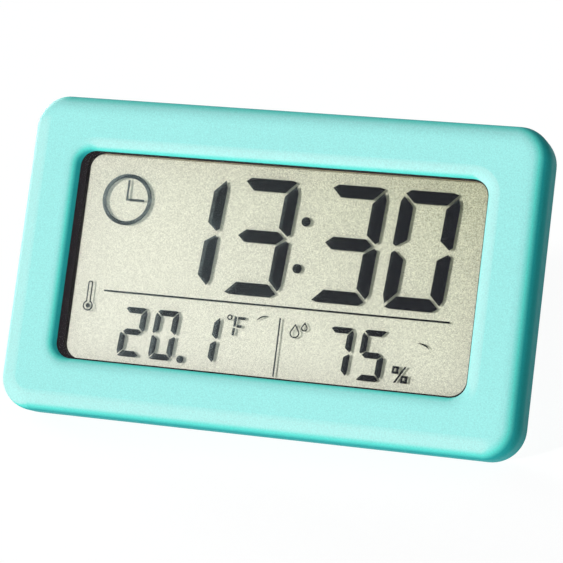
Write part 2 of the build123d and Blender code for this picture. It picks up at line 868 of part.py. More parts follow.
with BuildPart() as rear_case:
    add(case_block.part)
    split(bisect_by=depth(cover_front), keep=Keep.BOTTOM)
    with BuildSketch(depth(cover_front)):
        RectangleRounded(case_width - 2 * lip_inset, case_height - 2 * lip_inset,
                         corner_radius - lip_inset)
    extrude(amount=lip_height)
    with BuildSketch(depth(inner_back)):
        RectangleRounded(case_width - 2 * cover_inset, case_height - 2 * cover_inset,
                         corner_radius - cover_inset)
    extrude(amount=inner_back - cover_front + lip_height + overrun, mode=Mode.SUBTRACT)
    # Solid stock on the inside, for the stand, the screws, the door, the keyhole and the magnets
    with BuildSketch(depth(inner_back)):
        with Locations((0, recess_middle)):
            Rectangle(recess_width + 2 * recess_wall, recess_height + 2 * stand_thickness)
    extrude(amount=inner_back - recess_back)
    with BuildSketch(depth(inner_back)):
        with Locations(*boss_places):
            Circle(case_screw_head_radius + counterbore_clearance + recess_floor)
    extrude(amount=inner_back - screw_boss_front)
    with BuildSketch(door_plane(inner_back)):
        Circle(groove_radius + door_boss_width)
    extrude(amount=door_boss_height)
    with BuildSketch(door_plane(door_floor)):
        Circle(ring_radius_inside + ring_wall)
    extrude(amount=door_floor - board_back - ring_board_gap)
    with BuildSketch(depth(inner_back)):
        with Locations((0, keyhole_y + keyhole_rise / 2)):
            SlotOverall(keyhole_width + keyhole_rise + 2 * keyhole_pocket_wall,
                        keyhole_width + 2 * keyhole_pocket_wall, rotation=90)
    extrude(amount=keyhole_pocket_depth + keyhole_pocket_wall)
    with BuildSketch(depth(inner_back)):
        with Locations((-magnet_x, magnet_y), (magnet_x, magnet_y)):
            Circle(magnet_radius + magnet_clearance + magnet_boss_wall)
    extrude(amount=magnet_boss_height)
    # What the back is opened for
    with BuildSketch(depth(case_depth + overrun)):
        with Locations((0, recess_middle)):
            Rectangle(recess_width, recess_height)
    extrude(amount=case_depth + overrun - hinge_floor, mode=Mode.SUBTRACT)
    with BuildSketch(side_on(leaned(HINGE, lean))):
        Circle(trunnion_radius + trunnion_clearance)
    extrude(amount=trunnion_reach, both=True, mode=Mode.SUBTRACT)
    with BuildSketch(depth(case_depth + overrun)):
        with Locations(*boss_places):
            Circle(case_screw_head_radius + counterbore_clearance)
    extrude(amount=counterbore_depth + overrun, mode=Mode.SUBTRACT)
    with BuildSketch(depth(case_depth + overrun)):
        with Locations(*boss_places):
            Circle(case_screw_radius + hole_clearance)
    extrude(amount=case_depth, mode=Mode.SUBTRACT)
    with BuildSketch(door_plane(case_depth + overrun)):
        Circle(seat_radius)
        with BuildSketch():
            wedges(groove_radius, door_entry_angle, -door_turn)
            Circle(groove_radius, mode=Mode.INTERSECT)
    extrude(amount=case_depth + overrun - door_floor, mode=Mode.SUBTRACT)
    with BuildSketch(door_plane(case_depth - groove_lip)):
        Circle(groove_radius)
    extrude(amount=case_depth - groove_lip - door_floor, mode=Mode.SUBTRACT)
    with BuildSketch(door_plane(door_floor + overrun)):
        Circle(ring_radius_inside)
    extrude(amount=case_depth, mode=Mode.SUBTRACT)
    with BuildSketch(door_plane(inner_back - door_boss_height)):
        with Locations((-ring_radius_inside, 0)):
            Rectangle(contact_slot_length, contact_width + 2 * contact_slot_clearance)
    extrude(amount=case_depth, mode=Mode.SUBTRACT)
    with BuildSketch(depth(case_depth + overrun)):
        with Locations((0, keyhole_y)):
            Circle(keyhole_radius)
        with Locations((0, keyhole_y + keyhole_rise / 2)):
            SlotOverall(keyhole_rise + 2 * keyhole_slot_radius, 2 * keyhole_slot_radius,
                        rotation=90)
    extrude(amount=case_depth + overrun - inner_back, mode=Mode.SUBTRACT)
    with BuildSketch(depth(inner_back)):
        with Locations((0, keyhole_y + keyhole_rise / 2)):
            SlotOverall(keyhole_width + keyhole_rise, keyhole_width, rotation=90)
    extrude(amount=keyhole_pocket_depth, mode=Mode.SUBTRACT)
    with BuildSketch(depth(case_depth + overrun)):
        with Locations((-magnet_x, magnet_y), (magnet_x, magnet_y)):
            Circle(magnet_radius + magnet_clearance)
    extrude(amount=magnet_recess_depth + overrun, mode=Mode.SUBTRACT)
    with BuildSketch(depth(case_depth + overrun)):
        with Locations((vent_x, vent_y)):
            with GridLocations(vent_pitch, vent_pitch, 1, vent_count):
                SlotOverall(vent_length, vent_width)
        with Locations((button_x, 0)):
            with GridLocations(button_pitch, button_pitch, 1, 3):
                SlotOverall(button_length + 2 * button_clearance,
                            button_width + 2 * button_clearance)
    extrude(amount=rear_wall + 2 * overrun, mode=Mode.SUBTRACT)
save(rear_case, "rear_case")

case_screws = screws(boss_places, counterbore_seat, case_screw_radius,
                     counterbore_seat - boss_back + case_screw_length - screw_tip_gap,
                     case_screw_head_radius, case_screw_head)
save(case_screws, "case_screws")

# Stand: one moulded flap with a barrel, two trunnions and a heel that stops it on the recess floor
with BuildPart() as kickstand:
    with BuildSketch(side_on(LEG)):
        Circle(barrel_radius)
        with Locations((-stand_length, 0)):
            Circle(tip_radius)
        Rectangle(stand_length, stand_thickness, align=(Align.MAX, Align.CENTER))
        Rectangle(heel_height, stand_thickness, align=(Align.MIN, Align.CENTER))
    extrude(amount=stand_width / 2, both=True)
    with BuildSketch(LEG.offset(-stand_width)):
        with Locations((0, heel_height + barrel_radius)):
            Rectangle(stand_width + 2 * overrun, stand_length, align=(Align.CENTER, Align.MAX))
        with Locations((0, -stand_length - tip_radius)):
            RectangleRounded(stand_width, stand_length, stand_corner_radius,
                             align=(Align.CENTER, Align.MIN))
        with Locations((0, -stand_length - tip_radius)):
            RectangleRounded(notch_width, 2 * notch_depth, notch_radius, mode=Mode.SUBTRACT)
    extrude(amount=2 * stand_width, mode=Mode.INTERSECT)
    with BuildSketch(side_on(LEG)):
        Circle(trunnion_radius)
    extrude(amount=stand_width / 2 + stand_side_gap + trunnion_length, both=True)
    with BuildSketch(LEG.offset(-tip_radius - overrun)):
        with Locations((0, -groove_centre_share * stand_length)):
            with GridLocations(groove_pitch, groove_pitch, 1, groove_count):
                SlotOverall(groove_length, groove_width)
    extrude(amount=overrun + groove_depth, mode=Mode.SUBTRACT)
save(kickstand, "kickstand")

# Magnets
with BuildPart() as magnets:
    magnet_seat = case_depth - magnet_recess_depth
    with BuildSketch(depth(magnet_seat + magnet_thickness)):
        with Locations((-magnet_x, magnet_y), (magnet_x, magnet_y)):
            Circle(magnet_radius)
    extrude(amount=magnet_thickness)
save(magnets, "magnets")

# Coin cell: the wide can faces the door, the smaller cap faces the board
with BuildPart() as coin_cell:
    with BuildSketch(door_plane(cell_back)):
        Circle(cell_radius)
    extrude(amount=cell_thickness - cell_cap_step)
    fillet(coin_cell.edges().filter_by(GeomType.CIRCLE), cell_edge_radius)
    with BuildSketch(door_plane(cell_front + cell_cap_step)):
        Circle(cell_cap_radius)
    extrude(amount=cell_cap_step)
save(coin_cell, "coin_cell")

# Battery contacts, both soldered to the board
with BuildPart() as battery_contact_negative:
    with BuildSketch(door_plane(board_back + contact_thickness)):
        Circle(spring_radius)
        Circle(spring_radius - spring_arm_width, mode=Mode.SUBTRACT)
        Rectangle(2 * spring_radius, spring_arm_width)
        Rectangle(spring_arm_width, 2 * spring_radius)
    extrude(amount=contact_thickness)
save(battery_contact_negative, "battery_contact_negative")

contact_edge = cell_radius + contact_cell_gap
with BuildPart() as battery_contact_positive:
    with BuildSketch(door_plane(board_back + contact_height)):
        with Locations((-contact_edge, 0)):
            Rectangle(contact_thickness, contact_width, align=(Align.MAX, Align.CENTER))
    extrude(amount=contact_height)
    with BuildSketch(door_plane(board_back + contact_thickness)):
        with Locations((-contact_edge, 0)):
            Rectangle(contact_foot, contact_width, align=(Align.MAX, Align.CENTER))
    extrude(amount=contact_thickness)
save(battery_contact_positive, "battery_contact_positive")

# Door: a disc with bayonet tabs at its rim, turned with a coin
with BuildPart() as battery_door:
    with BuildSketch(door_plane(case_depth)):
        Circle(door_radius)
    extrude(amount=door_thickness)
    tab_back = door_floor + door_tab_gap + door_tab_thickness
    with BuildSketch(door_plane(tab_back)):
        wedges(door_radius + door_tab_reach, door_tab_angle, 0)
        Circle(door_radius + door_tab_reach, mode=Mode.INTERSECT)
        Circle(ring_radius_inside, mode=Mode.SUBTRACT)
    extrude(amount=door_tab_thickness)
    with BuildSketch(door_plane(case_depth + overrun)):
        SlotOverall(coin_slot_length, coin_slot_width)
    extrude(amount=coin_slot_depth + overrun, mode=Mode.SUBTRACT)
    with BuildSketch(door_plane(case_depth + overrun)):
        with Locations((0, door_radius - door_mark_width)):
            RegularPolygon(door_mark_width / 2, 3, rotation=90)
    extrude(amount=door_mark_depth + overrun, mode=Mode.SUBTRACT)
save(battery_door, "battery_door")


# Buttons: a cap through the back, a flange that keeps it in, and a stem over its switch
button_back = case_depth + button_proud
flange_back = inner_back - button_flange_gap
flange_front = flange_back - button_flange_thickness
switch_back = board_back + tact_height + plunger_height
stem_front = switch_back + button_travel + stem_gap


def button(place, name):
    """One button in the column, with its mark cut into the cap."""
    centre = Plane(FRONT.from_local_coords((button_x, place * button_pitch, 0)),
                   x_dir=FRONT.x_dir, z_dir=FRONT.z_dir)
    with BuildPart() as cap:
        with BuildSketch(centre.offset(-button_back)):
            SlotOverall(button_length, button_width)
        extrude(amount=button_back - flange_back)
        fillet(cap.faces().sort_by(OUTWARD)[0].edges(), button_edge_radius)
        with BuildSketch(centre.offset(-flange_back)):
            SlotOverall(button_length + 2 * button_flange, button_width + 2 * button_flange)
        extrude(amount=button_flange_thickness)
        with BuildSketch(centre.offset(-flange_front)):
            Circle(stem_radius)
        extrude(amount=flange_front - stem_front)
        with BuildSketch(centre.offset(-button_back - overrun)):
            if place:
                RegularPolygon(button_mark, 3, rotation=90 * place)
                RegularPolygon(button_mark - 2 * button_mark_line, 3, rotation=90 * place,
                               mode=Mode.SUBTRACT)
            else:
                Circle(button_mark)
                Circle(button_mark - button_mark_line, mode=Mode.SUBTRACT)
        extrude(amount=button_mark_depth + overrun, mode=Mode.SUBTRACT)
    save(cap, name)


for place, name in ((1, "up_button"), (0, "mode_button"), (-1, "down_button")):
    button(place, name)

# Switches under the buttons
switch_places = [(button_x, place * button_pitch) for place in (-1, 0, 1)]
with BuildPart() as button_switches:
    with BuildSketch(depth(board_back + tact_height)):
        with Locations(*switch_places):
            Rectangle(tact_width, tact_width)
    extrude(amount=tact_height)
    with BuildSketch(depth(switch_back)):
        with Locations(*switch_places):
            Circle(plunger_radius)
    extrude(amount=plunger_height)
save(button_switches, "button_switches")

# Controller: a bare chip under a domed blob of black resin
dome_radius = (chip_radius ** 2 + chip_height ** 2) / (2 * chip_height)
with BuildPart() as controller_chip:
    chip_side = Plane(FRONT.from_local_coords((chip_x, chip_y, -board_back)),
                      x_dir=FRONT.x_dir, z_dir=FRONT.y_dir)
    with BuildSketch(chip_side):
        Rectangle(chip_radius, chip_height, align=(Align.MIN, Align.MIN))
        with Locations((0, chip_height - dome_radius)):
            Circle(dome_radius, mode=Mode.INTERSECT)
    revolve(axis=Axis(chip_side.origin, FRONT.z_dir))
save(controller_chip, "controller_chip")

# Quartz crystal: a small can lying on the board, with two leads
crystal_depth = board_back + crystal_gap + crystal_radius
with BuildPart() as quartz_crystal:
    can_end = Plane(FRONT.from_local_coords((crystal_x, crystal_y, -crystal_depth)),
                    x_dir=FRONT.y_dir, z_dir=FRONT.x_dir)
    with BuildSketch(can_end):
        Circle(crystal_radius)
    extrude(amount=crystal_length)
    with BuildSketch(can_end.offset(crystal_length)):
        with Locations((crystal_radius / 2, 0), (-crystal_radius / 2, 0)):
            Circle(crystal_lead_radius)
    extrude(amount=crystal_lead_length)
save(quartz_crystal, "quartz_crystal")

# Humidity sensor: a coated comb plate on two flat leads
plate_depth = board_back + sensor_stand_off
with BuildPart() as humidity_sensor:
    with BuildSketch(depth(plate_depth + sensor_thickness)):
        with Locations((vent_x, sensor_y)):
            Rectangle(sensor_length, sensor_width)
    extrude(amount=sensor_thickness)
    with BuildSketch(depth(plate_depth)):
        with Locations((vent_x - sensor_length / 3, sensor_y),
                       (vent_x + sensor_length / 3, sensor_y)):
            Rectangle(sensor_lead, sensor_lead)
    extrude(amount=sensor_stand_off)
    with BuildSketch(depth(plate_depth + sensor_thickness + overrun)):
        with Locations((vent_x, sensor_y)):
            Rectangle(sensor_length - 2 * sensor_lead, sensor_width - 2 * sensor_lead)
    extrude(amount=sensor_window + overrun, mode=Mode.SUBTRACT)
save(humidity_sensor, "humidity_sensor")

# Temperature sensor: a bead on two wire legs
bead_depth = board_back + bead_stand_off
with BuildPart() as temperature_sensor:
    with BuildSketch(depth(bead_depth)):
        with Locations((vent_x - bead_lead_spread, bead_y), (vent_x + bead_lead_spread, bead_y)):
            Circle(bead_lead_radius)
    extrude(amount=bead_stand_off)
    bead_side = Plane(FRONT.from_local_coords((vent_x, bead_y, -bead_depth)),
                      x_dir=FRONT.x_dir, z_dir=FRONT.y_dir)
    with BuildSketch(bead_side):
        Circle(bead_radius)
        Rectangle(bead_radius, 2 * bead_radius, align=(Align.MIN, Align.CENTER),
                  mode=Mode.INTERSECT)
    revolve(axis=Axis(bead_side.origin, FRONT.z_dir))
save(temperature_sensor, "temperature_sensor")

# Small chip capacitors and resistors
with BuildPart() as board_components:
    with BuildSketch(depth(board_back + smd_height)):
        with Locations((smd_x, smd_y)):
            with GridLocations(smd_pitch_x, smd_pitch_y, smd_row, smd_rows):
                Rectangle(smd_length, smd_width)
    extrude(amount=smd_height)
save(board_components, "board_components")
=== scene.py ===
import math

import bpy
import numpy as np
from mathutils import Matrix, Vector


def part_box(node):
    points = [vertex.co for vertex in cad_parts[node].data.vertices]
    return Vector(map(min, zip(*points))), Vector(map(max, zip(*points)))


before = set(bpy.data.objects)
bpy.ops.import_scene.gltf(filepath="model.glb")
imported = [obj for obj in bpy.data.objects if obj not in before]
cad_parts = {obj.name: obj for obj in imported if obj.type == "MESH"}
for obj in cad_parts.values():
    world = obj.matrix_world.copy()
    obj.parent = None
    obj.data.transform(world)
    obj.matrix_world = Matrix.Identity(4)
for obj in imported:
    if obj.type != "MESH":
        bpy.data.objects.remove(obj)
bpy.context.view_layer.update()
MM = 0.001

# Camera: a long lens, a little above the clock and to its right.
SENSOR_WIDTH_MM = 36.0
LENS_MM = 144.05
CAMERA_PLACE_MM = (119.36, -374.86, 144.84)
CAMERA_PITCH = 73.286
CAMERA_TURN = 17.475

camera_data = bpy.data.cameras.new("photo_camera")
camera_data.sensor_width = SENSOR_WIDTH_MM
camera_data.lens = LENS_MM
camera_data.clip_start = 10 * MM
camera = bpy.data.objects.new("photo_camera", camera_data)
camera.location = [value * MM for value in CAMERA_PLACE_MM]
camera.rotation_euler = (math.radians(CAMERA_PITCH), 0, math.radians(CAMERA_TURN))
bpy.context.scene.collection.objects.link(camera)
bpy.context.scene.camera = camera


class Wire:
    """One output socket in a node tree. Arithmetic between wires and numbers adds Math nodes."""

    def __init__(self, tree, socket=None):
        self.tree = tree
        self.socket = socket

    def node(self, kind, settings=None, sockets=None, output=0):
        """Adds a node of this type: its settings first, a ramp's stops among them, and then the
        values or links of its sockets."""
        made = self.tree.nodes.new(kind)
        for name, value in (settings or {}).items():
            if name == "stops":
                ramp = made.color_ramp
                while len(ramp.elements) < len(value):
                    ramp.elements.new(1.0)
                for element, (place, colour) in zip(ramp.elements, value):
                    element.position = place
                    element.color = colour
            else:
                setattr(made, name, value)
        for name, value in (sockets or {}).items():
            if isinstance(value, Wire):
                self.tree.links.new(value.socket, made.inputs[name])
            else:
                made.inputs[name].default_value = value
        return Wire(self.tree, made.outputs[output] if made.outputs else None)

    def maths(self, operation, first, second=0.0):
        return self.node("ShaderNodeMath", {"operation": operation}, {0: first, 1: second})

    def __add__(self, other):
        return self.maths("ADD", self, other)

    def __radd__(self, other):
        return self.maths("ADD", other, self)

    def __sub__(self, other):
        return self.maths("SUBTRACT", self, other)

    def __rsub__(self, other):
        return self.maths("SUBTRACT", other, self)

    def __mul__(self, other):
        return self.maths("MULTIPLY", self, other)

    def __rmul__(self, other):
        return self.maths("MULTIPLY", other, self)


# Studio: a key lamp to the left, square to the lean of the clock, a wide one to the right, one for
# the light that the table throws up, and one behind. The sky is even, and plain white where the
# camera, a mirror or a glass looks at it.
KEY_TURN = 31.3
KEY_HEIGHT = 21.2
SKY_STRENGTH = 0.14
SKY_TINT = (0.82, 1.0, 1.0, 1)
WHITE = (1, 1, 1, 1)


def sun(name, turn, height, size, strength):
    """A distant lamp. Turn 0 shines from the front and 90 from the left, height is over the
    table, and size is how wide it looks, all in degrees."""
    lamp = bpy.data.lights.new(name, "SUN")
    lamp.energy = strength
    lamp.angle = math.radians(size)
    holder = bpy.data.objects.new(name, lamp)
    holder.rotation_euler = (math.radians(90 - height), 0, -math.radians(turn))
    bpy.context.scene.collection.objects.link(holder)


sun("key_lamp", KEY_TURN, KEY_HEIGHT, 6.0, 2.55)
sun("wide_lamp", -30.0, 15.0, 50.0, 0.4)
sun("table_lamp", 10.0, -42.0, 60.0, 2.25)
sun("back_lamp", 135.0, 8.0, 30.0, 3.5)


def seen_directly(wire):
    """1 where a ray from the camera, a gloss or a glass arrives, and 0 elsewhere."""
    camera_ray = wire.node("ShaderNodeLightPath", output="Is Camera Ray")
    glossy_ray = wire.node("ShaderNodeLightPath", output="Is Glossy Ray")
    glass_ray = wire.node("ShaderNodeLightPath", output="Is Transmission Ray")
    return wire.maths("MAXIMUM", camera_ray, wire.maths("MAXIMUM", glossy_ray, glass_ray))


def mixed(wire, share, first, second):
    """A colour between two colours."""
    return wire.node("ShaderNodeMix", {"data_type": "RGBA"}, {0: share, 6: first, 7: second}, 2)


world = bpy.data.worlds.new("studio")
world.use_nodes = True
world.node_tree.nodes.clear()
sky = Wire(world.node_tree)
seen = seen_directly(sky)
background = sky.node("ShaderNodeBackground", {}, {
    "Color": mixed(sky, seen, SKY_TINT, WHITE),
    "Strength": SKY_STRENGTH + seen * (1 - SKY_STRENGTH)})
sky.node("ShaderNodeOutputWorld", {}, {"Surface": background})
bpy.context.scene.world = world
bpy.context.scene.view_settings.view_transform = "Standard"

# Floor: a wide white table that keeps a faint shadow of the clock.
FLOOR_HALF_WIDTH = 6.0
FLOOR_ALBEDO = 0.6
FLOOR_GLOW = 1.2
FLOOR_GLOW_SHARE = 0.76


def new_material(name):
    """An empty material made of nodes, and the wire that its nodes are added from."""
    material = bpy.data.materials.new(name)
    material.use_nodes = True
    material.node_tree.nodes.clear()
    return material, Wire(material.node_tree)


def new_piece(name, points, faces, material):
    """A mesh object with its place in its points, in metres."""
    mesh = bpy.data.meshes.new(name)
    mesh.from_pydata(points.tolist(), [], faces.tolist())
    mesh.materials.append(material)
    made = bpy.data.objects.new(name, mesh)
    bpy.context.scene.collection.objects.link(made)
    return made


floor_white, wire = new_material("floor_white")
matt = wire.node("ShaderNodeBsdfDiffuse", {}, {"Color": (FLOOR_ALBEDO,) * 3 + (1,)})
glow = wire.node("ShaderNodeEmission", {}, {"Color": WHITE, "Strength": FLOOR_GLOW})
white = wire.node("ShaderNodeMixShader", {}, {0: seen_directly(wire) * FLOOR_GLOW_SHARE,
                                             1: matt, 2: glow})
wire.node("ShaderNodeOutputMaterial", {}, {"Surface": white})
floor_corners = FLOOR_HALF_WIDTH * np.array([(-1, -1, 0), (1, -1, 0), (1, 1, 0), (-1, 1, 0)])
floor = new_piece("floor", floor_corners, np.array([(0, 1, 2, 3)]), floor_white)
floor.visible_shadow = False


# Case: a front shell and a back cover, moulded in mint plastic with a fine matt skin and held by
# four screws. Shade and highlight are painted into the mint: it is painted deeper, as shade, on the
# flanks that turn from the key lamp, and palest, as a painted highlight, on the rims that face left
# and down.
# Mint colours with painted light in them: the palest one is a painted highlight, the half and deep
# ones are painted shade.
MINT_IN_PAINTED_HIGHLIGHT = (0.40, 0.755, 0.725, 1)
MINT = (0.328, 0.76, 0.73, 1)
MINT_IN_HALF_PAINTED_SHADE = (0.113, 0.70, 0.62, 1)
MINT_IN_PAINTED_SHADE = (0.019, 0.345, 0.35, 1)
SPECK_SCALE = 4200.0
CLOUD_SCALE = 35.0
SKIN_SCALE = 3600.0
SKIN_DEPTH = 0.02 * MM
FACE_LEAN = math.radians(24.4)
FACE_NORMAL = (0, -math.cos(FACE_LEAN), math.sin(FACE_LEAN))
BACK_NORMAL = (0, math.cos(FACE_LEAN), -math.sin(FACE_LEAN))
KEY_SIDE = (-math.sin(math.radians(KEY_TURN)) * math.cos(math.radians(KEY_HEIGHT)),
            -math.cos(math.radians(KEY_TURN)) * math.cos(math.radians(KEY_HEIGHT)),
            math.sin(math.radians(KEY_HEIGHT)))
# Where the painted highlight and the painted shade of the mint begin and end, and which way the
# highlight faces.
PAINTED_HIGHLIGHT_TURN = math.radians(25)
PAINTED_HIGHLIGHT_SIDE = (-math.sin(PAINTED_HIGHLIGHT_TURN), -math.cos(PAINTED_HIGHLIGHT_TURN), 0)
PAINTED_SHADE_RANGE = (0.25, 0.75)
PAINTED_HIGHLIGHT_RANGE = (0.83, 0.89)
PLASTIC_GLOSS = 0.06


def on_object(wire):
    """The place on the object, in metres."""
    return wire.node("ShaderNodeTexCoord", output="Object")


def noise(wire, place, scale, detail=2.0):
    """Even noise from 0 to 1, with about this many lumps to the metre."""
    return wire.node("ShaderNodeTexNoise", {}, {"Vector": place, "Scale": scale, "Detail": detail})


def sharpened(wire, value, low, high):
    """A value stretched so that low becomes 0 and high becomes 1, and held between them."""
    return wire.node("ShaderNodeMapRange", {}, {"Value": value, "From Min": low, "From Max": high})


def grained(wire, colour, speck, share):
    """A colour made darker and lighter by this share as a speck goes from 0 to 1."""
    return wire.node("ShaderNodeVectorMath", {"operation": "SCALE"},
                     {0: colour, "Scale": (speck - 0.5) * share + 1.0})


def bumped(wire, height, depth):
    """The normal of a surface whose height from 0 to 1 stands for this depth in metres."""
    return wire.node("ShaderNodeBump", {}, {"Height": height, "Distance": depth})


def shaded(wire, sockets):
    """The one shader of an opaque material."""
    shader = wire.node("ShaderNodeBsdfPrincipled", {}, sockets)
    wire.node("ShaderNodeOutputMaterial", {}, {"Surface": shader})


def dress(material, *names):
    """Gives CAD nodes this material."""
    for name in names:
        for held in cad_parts[name].material_slots:
            held.material = material


def facing(wire, direction):
    """How squarely the surface faces a direction, from -1 to 1."""
    normal = wire.node("ShaderNodeTexCoord", output="Normal")
    return wire.node("ShaderNodeVectorMath", {"operation": "DOT_PRODUCT"},
                     {0: normal, 1: direction}, "Value")


def mint_plastic(name, speck_share, skin_depth, roughness):
    """Matt mint plastic with fine specks and a sparked skin. Its colour carries painted shade where
    the surface turns from the key lamp and a painted highlight on the rims that face left and down.
    """
    material, wire = new_material(name)
    place = on_object(wire)
    # Painted shade: the mint is darkened where the surface turns away from both the key lamp and
    # the back.
    painted_light = wire.maths("MAXIMUM", facing(wire, KEY_SIDE), facing(wire, BACK_NORMAL))
    tint = wire.node("ShaderNodeValToRGB",
                     {"stops": [(0, MINT_IN_PAINTED_SHADE), (0.5, MINT_IN_HALF_PAINTED_SHADE), (1, MINT)]},
                     {"Fac": sharpened(wire, painted_light, *PAINTED_SHADE_RANGE)})
    # Painted highlight: the rims that face left and down are lightened towards the palest mint.
    painted_rim_highlight = sharpened(wire, facing(wire, PAINTED_HIGHLIGHT_SIDE), *PAINTED_HIGHLIGHT_RANGE)
    tint = mixed(wire, painted_rim_highlight, tint, MINT_IN_PAINTED_HIGHLIGHT)
    cloud = noise(wire, place, CLOUD_SCALE)
    speck = sharpened(wire, noise(wire, place, SPECK_SCALE, 3.0), 0.3, 0.7)
    skin = noise(wire, place, SKIN_SCALE, 3.0)
    shaded(wire, {"Base Color": grained(wire, tint, speck * 0.7 + cloud * 0.3, speck_share),
                  "Roughness": roughness + cloud * 0.1, "Specular IOR Level": PLASTIC_GLOSS,
                  "Normal": bumped(wire, skin, skin_depth)})
    return material


dress(mint_plastic("case_mint", 0.24, SKIN_DEPTH, 0.5), "front_bezel", "rear_case")

# Stand and battery door: moulded in the same plastic. The stand snaps onto two trunnions, and the
# door is turned with a coin, so both are rubbed a little smoother than the case.
# The stand, the door and the buttons carry the same painted shade and painted highlight in their
# mint.
dress(mint_plastic("stand_mint", 0.20, SKIN_DEPTH * 0.8, 0.46), "kickstand")
dress(mint_plastic("door_mint", 0.24, SKIN_DEPTH * 0.6, 0.42), "battery_door")

# Buttons: three satin caps of the same mint, each kept in by a flange behind the back cover.
dress(mint_plastic("button_mint", 0.16, SKIN_DEPTH * 0.4, 0.38),
      "mode_button", "up_button", "down_button")

# Window lens: a flat clear moulding, held to the back of the front plate by a black tape.
LENS_IOR = 1.1
LENS_TINT = (0.99, 0.99, 0.99, 1)
LENS_ROUGHNESS = 0.03
TAPE = (0.008, 0.008, 0.009, 1)
TAPE_FIBRE = (0.03, 0.03, 0.03, 1)


def clear(name, tint, ior, roughness):
    """A clear layer that light goes straight through, with a faint reflection on it."""
    material, wire = new_material(name)
    through = wire.node("ShaderNodeBsdfTransparent", {}, {"Color": tint})
    gloss = wire.node("ShaderNodeBsdfGlossy", {}, {"Color": WHITE, "Roughness": roughness})
    share = wire.node("ShaderNodeFresnel", {}, {"IOR": ior})
    both = wire.node("ShaderNodeMixShader", {}, {0: share, 1: through, 2: gloss})
    wire.node("ShaderNodeOutputMaterial", {}, {"Surface": both})
    return material


def lets_light_in(*names):
    """CAD nodes that cast no shadow on the display behind them."""
    for name in names:
        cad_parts[name].visible_shadow = False


dress(clear("clear_moulding", LENS_TINT, LENS_IOR, LENS_ROUGHNESS), "window_lens")
lets_light_in("window_lens", "front_bezel", "lens_tape", "lcd_frame")

tape_black, wire = new_material("tape_black")
fibres = noise(wire, on_object(wire), 3000.0, 4.0)
shaded(wire, {"Base Color": mixed(wire, sharpened(wire, fibres, 0.4, 0.7), TAPE, TAPE_FIBRE),
              "Roughness": 0.8, "Specular IOR Level": 0.1,
              "Normal": bumped(wire, fibres, 0.02 * MM)})
dress(tape_black, "lens_tape")

# Display frame: a carrier of black plastic with a pocket for the lens and one for the display
# cell, screwed in between the front plate and the board. Its wall is the dark reveal.
BLACK = (0.010, 0.009, 0.012, 1)
BLACK_WORN = (0.020, 0.016, 0.018, 1)

frame_black, wire = new_material("frame_black")
place = on_object(wire)
shaded(wire, {"Base Color": mixed(wire, noise(wire, place, 400.0, 4.0), BLACK, BLACK_WORN),
              "Roughness": 0.7, "Specular IOR Level": 0.06,
              "Normal": bumped(wire, noise(wire, place, 1800.0), 0.01 * MM)})
dress(frame_black, "lcd_frame")

# Display cell: a film on the front, then two glass plates joined by a seal of amber resin.
POLARISER_IOR = 1.1
POLARISER_ROUGHNESS = 0.39
POLARISER_TINT = (0.985, 0.985, 0.97, 1)
GLASS_IOR = 1.005
GLASS_ROUGHNESS = 0.1
GLASS_TINT = (0.99, 0.995, 0.99, 1)
CLEAR_LAYERS = 24
SEAL = (0.42, 0.36, 0.22, 1)
SEAL_DARK = (0.30, 0.24, 0.13, 1)

dress(clear("polariser_film", POLARISER_TINT, POLARISER_IOR, POLARISER_ROUGHNESS),
      "lcd_front_polariser")
dress(clear("thin_glass", GLASS_TINT, GLASS_IOR, GLASS_ROUGHNESS),
      "lcd_front_glass", "lcd_rear_glass")
lets_light_in("lcd_front_polariser", "lcd_front_glass", "lcd_rear_glass")
bpy.context.scene.cycles.transparent_max_bounces = CLEAR_LAYERS

seal_resin, wire = new_material("amber_resin")
shaded(wire, {"Base Color": mixed(wire, noise(wire, on_object(wire), 700.0), SEAL_DARK, SEAL),
              "Roughness": 0.35, "Specular IOR Level": 0.3})
dress(seal_resin, "lcd_seal")

# Reflector: a film with a silvery grey-green grain behind the cell, which sends the light back
# through the crystal. Towards its upper right corner it is painted dimmer and yellower, as painted
# shade.
GROUND = (0.735, 0.715, 0.64, 1)
FAR_GROUND_PAINTED_SHADE = (0.42, 0.42, 0.27, 1)
GRAIN_SCALE = 5000.0
GRAIN_SHARE = 0.38
FAR_GRAIN_SHARE = 0.62
ACROSS_SLOPE = 6.74
UP_SLOPE = 10.5
NEAR_END = -0.475
FAR_END = 0.525


def face_place(wire, node):
    """The place on a piece, from its middle: across, up its face and out of it, in metres."""
    low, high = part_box(node)
    return wire.node("ShaderNodeMapping", {"vector_type": "TEXTURE"},
                     {"Vector": on_object(wire), "Location": (low + high) / 2,
                      "Rotation": (math.radians(90) - FACE_LEAN, 0, 0)})


def part_of(place, axis):
    """One of the three numbers of a place."""
    return place.node("ShaderNodeSeparateXYZ", {}, {"Vector": place}, axis)


grained_film, wire = new_material("grained_film")
place = face_place(wire, "lcd_reflector")
climb = part_of(place, "X") * ACROSS_SLOPE + part_of(place, "Y") * UP_SLOPE
# far grows towards the upper right corner, where it mixes in the painted shade and a stronger
# grain.
far = sharpened(wire, climb, NEAR_END, FAR_END)
ground = mixed(wire, far * far, GROUND, FAR_GROUND_PAINTED_SHADE)
grain = sharpened(wire, noise(wire, place, GRAIN_SCALE, 2.0), 0.3, 0.7)
graininess = GRAIN_SHARE + far * far * FAR_GRAIN_SHARE
shaded(wire, {"Base Color": grained(wire, ground, grain, graininess), "Roughness": 0.5,
              "Specular IOR Level": 0.2, "Normal": bumped(wire, grain, 0.01 * MM)})
dress(grained_film, "lcd_reflector")

